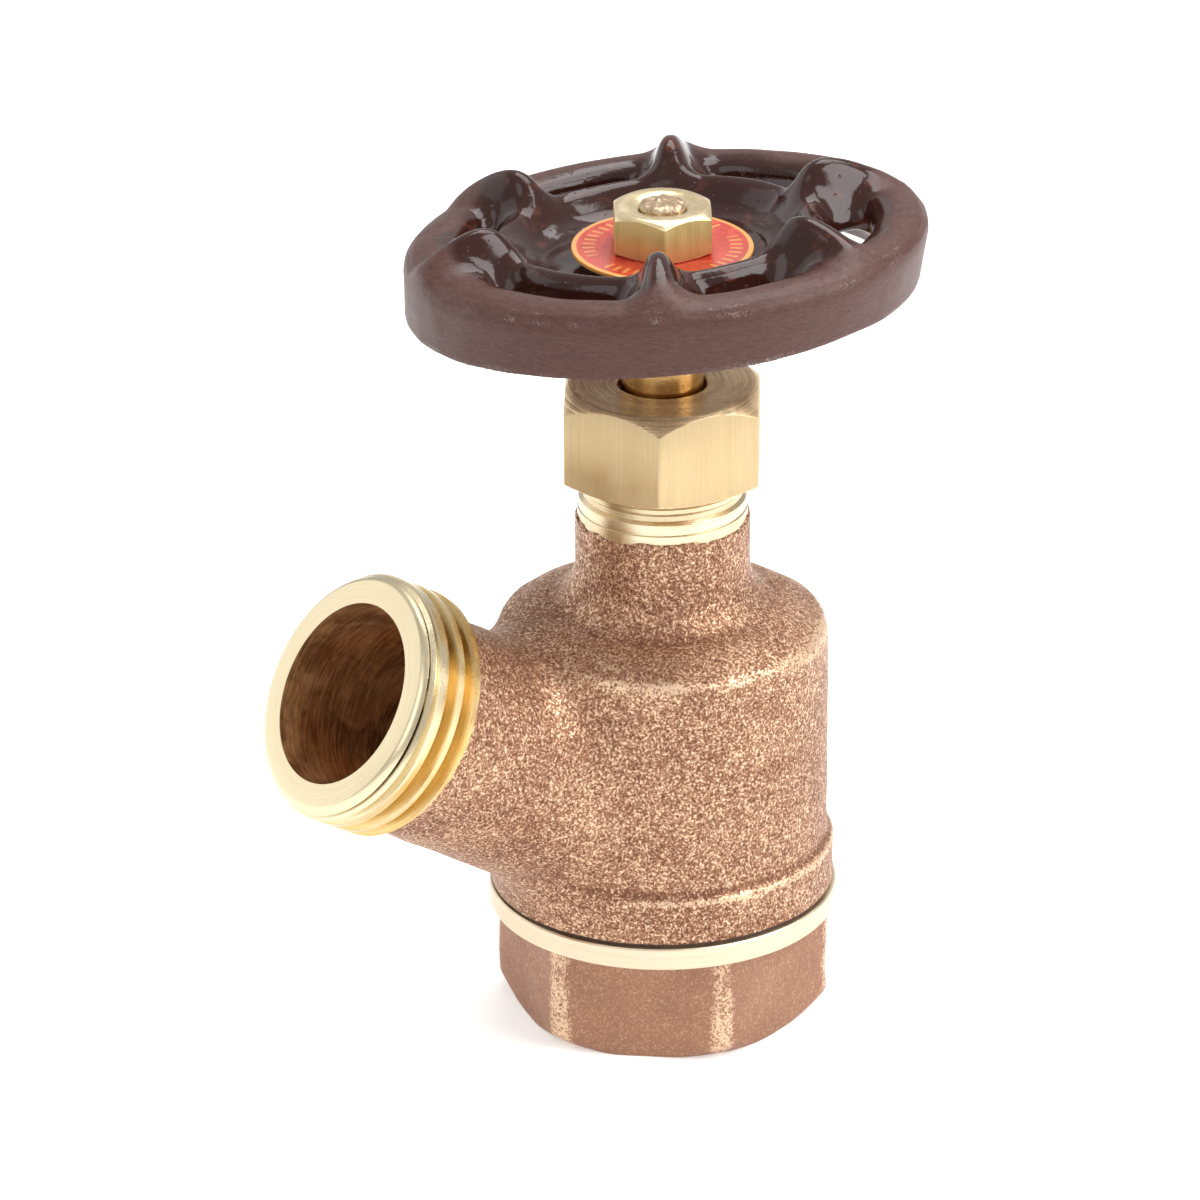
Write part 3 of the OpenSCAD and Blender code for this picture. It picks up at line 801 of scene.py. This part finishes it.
def build_body():
    """The whole casting with its machined outlet, neck, mouth and water way."""
    skin, turned, bore, neck, base = range(5)
    length, reach = OUTLET_LENGTH, COLLAR_R + 2
    mesh = field_surface(body_field, (-reach, -42, BODY_BASE - 4), (reach, reach, 60), 0.36)
    body = solid("valve_body_casting", mesh, skin, slots=5)
    r = OUTLET_R
    end = in_outlet([(0, length - 9.5), (TUBE_R - 1.2, length - 9.5), (TUBE_R - 0.1, length - 8.3),
                     (r - 0.5, length - 7.9), (r, length - 7.5), (r, length - 1.4),
                     (r - 0.1, length - 1.2), (r - 0.48, length - 0.72), (12.75, length - 0.3),
                     (12.45, length - 0.08), (12.2, length), (0, length)])
    end = solid("outlet_end", end, turned, slots=5)
    carve(end, hose_groove(), turned)
    carve(end, face_scratch(), turned)
    join(body, end)
    thread_r = 8.9
    bands = [(0, 57.2), (9.12, 57.2), (9.1, 58.35), (8.98, 58.42), (9.04, 58.6), (8.98, 59.6),
             (8.6, 59.95), (8.55, 60.5), (thread_r - 0.05, 60.8), (thread_r, 61.0),
             (thread_r, 61.35), (8.7, 61.5), (thread_r, 61.65), (thread_r, NECK_TOP - 0.6),
             (thread_r - 0.6, NECK_TOP), (0, NECK_TOP)]
    join(body, lathe(bands, 160), neck)
    below = [(0, 0), (80, 0), (80, BODY_BASE), (0, BODY_BASE)]
    carve(body, lathe(below, 32), base)
    chamber_r, guide_r, box_r, box_floor = 14.5, 5.6, 6.55, 58.2
    inside = [(0, BODY_BASE - 1), (15.6, BODY_BASE - 1), (15.2, BODY_BASE + 0.6), (15.2, 20.6),
              (chamber_r, 21.2), *arc((chamber_r - 3, 39), 3, 0, 60), (guide_r + 1.5, 46),
              (guide_r, 47), (guide_r, box_floor), (box_r, box_floor), (box_r, NECK_TOP + 1),
              (0, NECK_TOP + 1)]
    carve(body, lathe(inside), bore)
    step = length - OUTLET_BORE_DEPTH
    way = [(0, 8), (8.6, 8), (8.6, step - 0.8), (OUTLET_BORE_R, step), (OUTLET_BORE_R, length + 1),
           (0, length + 1)]
    carve(body, in_outlet(way), bore)
    # The neck's machined upper edge isn't worn like the casting's own edges
    points = points_of(body)
    casting = smooth_step(57.0, 55.8, points[:, 2])
    mark(body, "bend", bend_at(body_field, points, 0.9) * casting)
    finish_piece(body, "housing", ["valve_body"],
                 [BRONZE, OUTLET_BRASS, BORE_BRASS, NECK_BRASS, RING_BRASS])


# ---- inlet end

HEX_AF = 32.0
HEX_TURN = math.radians(-10.75)
RING_BASE = RING_TOP - 2.45
HEX_CORNER_R = 18.15

hex_turned = TurnedField([(0, -2), (13.2, -2), (15.9, 0), (HEX_CORNER_R, 1.67),
                          (HEX_CORNER_R, RING_BASE + 0.5), (0, RING_BASE + 0.5)])


def hex_field(x, y, z):
    """The cast hexagon, with soft corners and its lower corners turned down."""
    sides = [np.abs(x * math.cos(a) + y * math.sin(a)) - HEX_AF / 2
             for a in (HEX_TURN + TAU / 12 + k * TAU / 6 for k in range(3))]
    prism = smooth_max(smooth_max(sides[0], sides[1], 0.9), sides[2], 0.9)
    shape = smooth_max(prism, hex_turned(np.hypot(x, y), z), 0.7)
    return shape + 0.05 * ripple(x, y, z, 3, 21) + 0.05 * ripple(x, y, z, 8, 22)


def build_inlet():
    """Hexagon, turned ring, spigot with its seat, and the pipe thread."""
    skin, turned, bore = range(3)
    reach = HEX_CORNER_R + 1.5
    mesh = field_surface(hex_field, (-reach, -reach, -3), (reach, reach, RING_BASE + 2), 0.32)
    piece = solid("inlet_end_casting", mesh, skin, slots=3)
    ring = [(0, RING_BASE), (RING_R - 0.12, RING_BASE), (RING_R, RING_BASE + 0.12),
            (RING_R, RING_TOP - 0.15), (RING_R - 0.15, RING_TOP), (0, RING_TOP)]
    join(piece, lathe(ring, 180), turned)
    seat_r, spigot_r, moat_r, moat_floor, spigot_top = 9.3, 15.17, 12.6, 18.4, 20.2
    spigot = [(0, RING_TOP - 0.5), (spigot_r, RING_TOP - 0.5), (spigot_r, spigot_top - 0.2),
              (spigot_r - 0.2, spigot_top), (moat_r, spigot_top), (moat_r, moat_floor),
              (seat_r, moat_floor), (seat_r, SEAT_Z - 0.2), (seat_r - 0.2, SEAT_Z), (0, SEAT_Z)]
    join(piece, lathe(spigot), turned)
    carve(piece, lathe([(0, -9), (60, -9), (60, 0), (0, 0)], 32), turned)
    crest_r, root_r, pitch, port_r = INLET_THREAD_R, 13.1, 1.814, 7.5
    way = [(0, -1), (root_r + 0.1, -1), (root_r + 0.1, 0), (crest_r, 1.1), (crest_r, RING_TOP),
           (port_r, RING_TOP + 1.6), (port_r, SEAT_Z + 1), (0, SEAT_Z + 1)]
    carve(piece, lathe(way), bore)
    section = [(crest_r - 0.5, -0.8), (root_r, -0.05), (root_r, 0.05), (crest_r - 0.5, 0.8)]
    groove = helix_cutter(section, pitch, -1.5, RING_TOP - 1.5,
                          lambda h: -1.2 * smooth_step(RING_TOP - 4.5, RING_TOP - 2, h))
    carve(piece, groove, bore)
    x, y, _ = points_of(piece).T
    from_corner = np.abs((np.arctan2(y, x) - HEX_TURN + TAU / 12) % (TAU / 6) - TAU / 12)
    mark(piece, "bend", 0.11 * smooth_step(2.3, 0.6, from_corner * HEX_CORNER_R))
    # The water way takes the nut-face brass, with its painted highlight
    finish_piece(piece, "housing", ["inlet_end"],
                 [HEX_BRONZE, RING_BRASS, NUT_FACE_PAINTED_LIGHT])


# ---- nuts

# Width across the flats, and the turn of each hexagon in degrees
PACKING_NUT_AF, PACKING_NUT_TURN = 20.6, 26.15
WHEEL_NUT_AF, WHEEL_NUT_TURN = 10.2, 29.75


def corner_columns(turn_degrees):
    """Angles round a hexagon, close together at its corners, and each one's angle from a corner."""
    half = [0, 0.35, 0.7, 1.0, 1.35, 1.8, 2.6, 4, 6, 9, 12, 15, 18, 21, 24, 27]
    offsets = sorted([-v for v in half[1:]] + half + [30])
    angles = [math.radians(60 * k + v) for k in range(6) for v in offsets]
    return np.array(angles) + math.radians(turn_degrees), np.tile(np.radians(offsets), 6)


def hex_radius(across_flats, from_corner, fillet):
    """Radius of a hexagon with rounded corners, at angles measured from a corner."""
    flat = across_flats / 2
    line = flat / np.cos(np.pi / 6 - np.abs(from_corner))
    centre = (flat - fillet) / math.cos(math.pi / 6)
    touch = math.atan2(fillet * 0.5, centre + fillet * math.cos(math.pi / 6))
    inner = np.maximum(fillet ** 2 - (centre * np.sin(from_corner)) ** 2, 0)
    round_r = centre * np.cos(from_corner) + np.sqrt(inner)
    return np.where(np.abs(from_corner) < touch, round_r, line)


def nut_mesh(across_flats, low, high, turn_degrees, top, bottom, hole, fillet=0.35):
    """A nut as rings of points: flats between two cones, and a hole listed from the top down.

    top and bottom are each the radius of the flat face and the slope of the cone."""
    angles, from_corner = corner_columns(turn_degrees)
    edge_r = hex_radius(across_flats, from_corner, fillet)
    upper = high - np.maximum(edge_r - top[0], 0) * top[1]
    lower = low + np.maximum(edge_r - bottom[0], 0) * bottom[1]
    soft, flats, ends = 0.10, 0, 1
    cone_r = np.maximum(edge_r - soft, top[0] + 0.02)
    rows = [(hole[-1][0], low, ends), (bottom[0] - 0.4, low, ends),
            (np.minimum(bottom[0], edge_r) - soft, low, ends),
            (edge_r - 0.6 * soft, lower - 0.1 * soft, ends), (edge_r, lower + soft, flats),
            (edge_r, 0.5 * (lower + upper), flats), (edge_r, upper - soft, flats),
            (edge_r - 0.35 * soft, upper - 0.15 * soft, ends),
            (cone_r, np.minimum(upper + soft * top[1], high - 0.03), ends),
            (top[0], high - 0.02, ends), (top[0] - 0.3, high, ends),
            *[(r, h, ends) for r, h in hole]]
    vertices, faces, slots = [], [], []
    n = len(angles)
    for i, (r, h, slot) in enumerate(rows):
        vertices += list(zip(r * np.cos(angles), r * np.sin(angles), np.broadcast_to(h, n)))
        below, above = i * n, (i + 1) % len(rows) * n
        for k in range(n):
            m = (k + 1) % n
            faces.append((below + k, below + m, above + m, above + k))
        slots += [slot] * n
    return vertices, faces, slots


def build_nut(name, node, body, materials, *shape, **more):
    """A finished nut whose flats and faces have their own brass."""
    vertices, faces, slots = nut_mesh(*shape, **more)
    piece = solid(name, (vertices, faces), 0, slots=2)
    piece.data.polygons.foreach_set("material_index", slots)
    finish_piece(piece, body, [node], materials, sharp=38)


def build_nuts():
    """The packing nut on the neck, and the nut that holds the plate and handwheel."""
    top, gland_top, thread_r = NUT_TOP, NUT_TOP - 2, 8.93
    build_nut("packing_nut_hexagon", "packing_nut", "housing", [NUT_FLATS, NUT_FACE_PAINTED_LIGHT],
              PACKING_NUT_AF, NUT_BASE, top, PACKING_NUT_TURN, (9.9, 0.80), (10.2, 0.42),
              [(5.0, top), (4.75, top - 0.25), (4.7, gland_top), (thread_r, gland_top),
               (thread_r, NUT_BASE + 0.6), (9.2, NUT_BASE)])
    top, thread_r = WHEEL_NUT_TOP, 2.5
    build_nut("handwheel_nut_hexagon", "handwheel_nut", "stem_assembly",
              [SMALL_NUT, SMALL_NUT_FACE_PAINTED_LIGHT],
              WHEEL_NUT_AF, PLATE_TOP, top, WHEEL_NUT_TURN, (4.75, 0.62), (5.0, 0.3),
              [(3.35, top), (3.2, top - 0.08), (thread_r, top - 0.55), (thread_r, PLATE_TOP)],
              fillet=0.25)


# ---- stem and plate


def build_stem():
    """Stem with its foot button, lifting thread, square and hammered end."""
    shaft_r, thread_r, pitch, tip, foot = 4.37, 5.55, 2.117, STEM_TIP, STEM_FOOT
    shaft = [(0, foot), (4.7, foot), (4.9, foot + 0.2), (4.9, foot + 1.8), (4.7, foot + 2),
             (2.8, foot + 2), (2.8, 33), (shaft_r, 33.6), (shaft_r, 43), (thread_r, 44.1),
             (thread_r, 52.4), (shaft_r, 52.7), (shaft_r, 83.75), (shaft_r - 0.25, 84), (0, 84)]
    stem = solid("stem_turned", lathe(shaft), 0, slots=2)
    section = [(4.65, -0.35), (thread_r + 0.4, -0.62), (thread_r + 0.4, 0.62), (4.65, 0.35)]
    groove = moved(helix_cutter(section, pitch, -1.5, 10.5, lambda h: 0.0, 64),
                   Matrix.Translation((0, 0, 43.5)))
    carve(stem, groove)
    join(stem, square_bar(3.0, 83.5, 87))
    stud_r = 2.42
    dome = [(stud_r * (1 - t ** 2.2), tip - 0.5 * (1 - t) ** 2.2)
            for t in np.linspace(0.08, 0.98, 12)]
    stud = [(0, 86.5), (stud_r, 86.5), (stud_r, tip - 1.0), (stud_r + 0.05, tip - 0.55), *dome,
            (0, tip)]
    vertices, faces = lathe(stud, 96)
    vertices = np.array(vertices, dtype=float)
    dents = 0.07 * (1 + ripple(*vertices.T, 0.55, 31, 10))
    vertices[:, 2] -= dents * smooth_step(tip - 0.9, tip - 0.4, vertices[:, 2])
    join(stem, (vertices, faces), 1)
    finish_piece(stem, "stem_assembly", ["stem"], [STEM_BRASS, TIP_BRASS])


def build_plate():
    """Thin pressed plate with a rounded edge and a slightly raised border."""
    r, base, top = PLATE_R, PLATE_BASE, PLATE_TOP
    outline = [(2.62, base), (r - 0.12, base), (r - 0.02, base + 0.1), (r, base + 0.25),
               (r - 0.06, top - 0.06), (r - 0.2, top), (r - 0.5, top), (r - 0.62, top - 0.05),
               (2.62, top - 0.05)]
    plate = solid("identification_plate_disc", lathe(outline, 160))
    finish_piece(plate, "stem_assembly", ["identification_plate"], [PLATE], sharp=40)


# ---- handwheel

# The casting's upper edge is moved sideways, because the wheel was moulded a little askew
RIM_SHIFT = 0.85
RIM_SHIFT_TOWARD = math.radians(58)
RIM_TOP = 5.6
# Angle of each finger lobe from the camera's direction, in degrees
LOBES = (0.8, 53.5, 112.5, 175, -129, -70)

rim_turned = TurnedField([
    (24.0, 0.35), (24.5, 0), (27.1, 0), (27.35, 0.25), (27.4, 0.8), (27.85, 5.0), (27.6, 5.95),
    (26.9, 6.7), (26.0, 7.1), (25.0, 7.3), (23.9, 7.25), (22.9, 6.95), (22.2, 6.45),
    (21.95, 5.7), (22.5, 3.6)])
web_turned = TurnedField([
    (0, 1.9), (15.6, 1.9), (17.0, 2.5), (17.6, 3.4), (17.75, 5.9), (17.45, 6.75), (16.8, 7.3),
    (16.2, 7.4), (15.5, 7.0), (14.8, 6.2), (14.0, 5.2), (13.0, 4.55), (12.0, 4.3), (0, 4.3)])
hub_turned = TurnedField([(0, 0), (7.2, 0), (7.2, 4.4), (0, 4.4)])


def crest_height(along):
    """Height of a lobe's crest at a distance from the wheel's axis."""
    radii = [13.4, 14.6, 15.6, 16.6, 17.6, 18.6, 19.5, 20.6, 22, 23.5, 25, 26.3, 27.3, 28.2]
    heights = [4.4, 5.6, 7.6, 9.4, 10.4, 10.8, 10.9, 10.75, 10.3, 9.6, 8.7, 7.6, 6.3, 4.6]
    fine = np.arange(12, 30, 0.1)
    raw = np.interp(fine, radii, heights)
    kernel = np.exp(-(np.arange(-10, 11) / 5.0) ** 2)
    smooth = np.convolve(np.pad(raw, 10, mode="edge"), kernel / kernel.sum(), "valid")
    return np.interp(along, fine, smooth)


def lobe_field(x, y, h, outer):
    """One finger lobe along +X: a rounded fin with hollow flanks, from the lip to the rim."""
    foot, half_width = 3.0, 4.3
    thick = 2.75 + 0.3 * smooth_step(20, 26, x)
    share = 1 / (1 + (np.abs(y) / thick) ** 2.6)
    height = foot + (crest_height(x) - foot) * share
    slant = np.sqrt(1 + ((crest_height(x) - foot) * 2.6 / thick * share * (1 - share)
                         * np.minimum(thick / np.maximum(np.abs(y), 0.3), 3)) ** 2)
    shape = (h - height) / slant
    shape = smooth_max(shape, np.abs(y) - half_width, 0.8)
    shape = np.maximum(shape, 13.2 - x)
    shape = smooth_max(shape, outer, 1.2)
    return smooth_max(shape, 3.5 - h - 1.6 * smooth_step(18.5, 16.5, x), 0.8)


def rim_radius(x, y, h):
    """Distance from the wheel's axis, with the upper rim's sideways shift taken off."""
    lean = RIM_SHIFT * np.clip(h / RIM_TOP, 0, 1.4)
    return np.hypot(x - lean * math.cos(RIM_SHIFT_TOWARD), y - lean * math.sin(RIM_SHIFT_TOWARD))


def wheel_field(x, y, h):
    """The whole handwheel in its own frame."""
    radius = rim_radius(x, y, h)
    rim = rim_turned(radius, h) - 0.05
    middle = np.hypot(x, y)
    web = smooth_min(web_turned(middle, h), hub_turned(middle, h), 1.0)
    outer = radius - 27.35 - 0.105 * np.clip(h, 0, 5)
    lobes = np.full(x.shape, 1e3)
    for angle in LOBES:
        a = math.radians(VIEW_TURN + angle)
        along, aside = x * math.cos(a) + y * math.sin(a), y * math.cos(a) - x * math.sin(a)
        lobes = np.minimum(lobes, lobe_field(along, aside, h, outer))
    shape = smooth_max(smooth_min(np.minimum(rim, web), lobes, 2.3), outer, 0.4)
    return shape + 0.025 * ripple(x, y, h, 3.2, 41) + 0.06 * ripple(x, y, h, 8, 42)


def build_handwheel():
    """Handwheel, leaned on its square, with a level seat for the plate and a square hole."""
    mesh = field_surface(wheel_field, (-30, -30, -1.5), (30, 30, 12), 0.31)
    wheel = solid("handwheel_casting", moved(mesh, WHEEL_FRAME))
    low, high, seat_r, under_r, under_top = 60, 110, PLATE_R + 1.4, 10.2, 84
    carve(wheel, lathe([(0, PLATE_BASE), (seat_r, PLATE_BASE), (seat_r, high), (0, high)]))
    carve(wheel, lathe([(0, low), (under_r, low), (under_r, under_top), (0, under_top)], 96))
    carve(wheel, square_bar(3.15, low, high))
    back = np.array(WHEEL_FRAME.inverted())
    points = points_of(wheel) @ back[:3, :3].T + back[:3, 3]
    x, y, h = points.T
    radius = rim_radius(x, y, h)
    outward = smooth_step(22.6, 24.4, radius + 0.5 * ripple(x, y, h, 4, 44) - 0.25 * (h - 7))
    mark(wheel, "satin", np.maximum(outward, smooth_step(1.6, 0.4, h)))
    mark(wheel, "bend", bend_at(wheel_field, points, 0.7))
    finish_piece(wheel, "stem_assembly", ["handwheel"], [ENAMEL])


# ---- camera and light


# The camera's direction and slight roll in radians, and its distance and lens in millimetres
AZIMUTH, ELEVATION, ROLL = math.radians(90 + VIEW_TURN), math.radians(24.57), math.radians(-0.17)
DISTANCE, LENS = 966.6, 270
# The middle of the picture, right of and above this height on the stem's axis
AIM_Z, AIM_RIGHT, AIM_UP = 41.04, -6.69, 5.40


def add_camera():
    """A long lens a metre away, above and to the right of the outlet."""
    right = Vector((math.cos(AZIMUTH), math.sin(AZIMUTH), 0))
    back = Vector((math.sin(AZIMUTH) * math.cos(ELEVATION),
                   -math.cos(AZIMUTH) * math.cos(ELEVATION), math.sin(ELEVATION)))
    up = back.cross(right)
    aim = Vector((0, 0, AIM_Z)) + AIM_RIGHT * right + AIM_UP * up
    place = (aim + DISTANCE * back) * MM
    right = right * math.cos(ROLL) + up * math.sin(ROLL)
    up = back.cross(right)
    data = bpy.data.cameras.new("camera")
    data.lens, data.sensor_width = LENS, 36
    data.clip_start, data.clip_end = 0.05, 20
    camera = add_object("camera", data)
    camera.matrix_world = Matrix([*zip(right, up, back, place), (0, 0, 0, 1)])
    scene.camera = camera


# Name, turn to the right of the camera and rise in degrees, width and height in metres, power
SOFT_BOXES = (("key", 68, 38, 0.5, 0.6, 5.2), ("front", -38, 34, 0.5, 0.6, 1.35),
              ("side", -112, 16, 0.8, 0.7, 1.25), ("top", 150, 65, 0.7, 0.5, 5))
SOFT_BOX_DISTANCE = 0.8


def add_soft_box(name, turn, rise, width, height, power):
    """An area light aimed at the middle of the valve."""
    turn, rise = math.radians(VIEW_TURN + turn), math.radians(rise)
    out = Vector((math.cos(turn) * math.cos(rise), math.sin(turn) * math.cos(rise), math.sin(rise)))
    data = bpy.data.lights.new(name, "AREA")
    data.shape, data.size, data.size_y, data.energy = "RECTANGLE", width, height, power
    light = add_object(name, data)
    light.location = Vector((0, 0, 0.05)) + SOFT_BOX_DISTANCE * out
    light.rotation_euler = out.to_track_quat("Z", "Y").to_euler()


def add_studio():
    """White floor and surroundings, with soft boxes for the highlights."""
    mesh = bpy.data.meshes.new("floor")
    mesh.from_pydata([(-3, -3, 0), (3, -3, 0), (3, 3, 0), (-3, 3, 0)], [], [(0, 1, 2, 3)])
    floor = add_object("floor", mesh)
    s = Shader("floor_white")
    mesh.materials.append(s.surface(Base_Color=(0.88, 0.88, 0.88), Roughness=0.9,
                                    Emission_Color=(1.0, 1.0, 1.0), Emission_Strength=0.35))
    scene.world = bpy.data.worlds.new("studio")
    scene.world.use_nodes = True
    background = scene.world.node_tree.nodes["Background"]
    background.inputs["Color"].default_value = (1, 1, 1, 1)
    background.inputs["Strength"].default_value = 0.62
    for box in SOFT_BOXES:
        add_soft_box(*box)
    scene.view_settings.view_transform = "Standard"


CAD_FINISHES = {
    "body_gasket": FIBRE, "packing_washer": NECK_BRASS, "packing_ring_1": YARN,
    "packing_ring_2": YARN, "packing_ring_3": YARN, "packing_gland": NECK_BRASS,
    "disc_holder": STEM_BRASS, "seat_disc": RUBBER, "seat_disc_nut": SMALL_NUT,
}

add_camera()
build_body()
build_inlet()
build_nuts()
build_stem()
build_plate()
build_handwheel()
for node_name, finish in CAD_FINISHES.items():
    node_mesh = frame["nodes"][node_name].data
    node_mesh.materials.clear()
    node_mesh.materials.append(finish)
for blank in [m for m in bpy.data.materials if m.name.startswith("working_")]:
    bpy.data.materials.remove(blank)
add_studio()
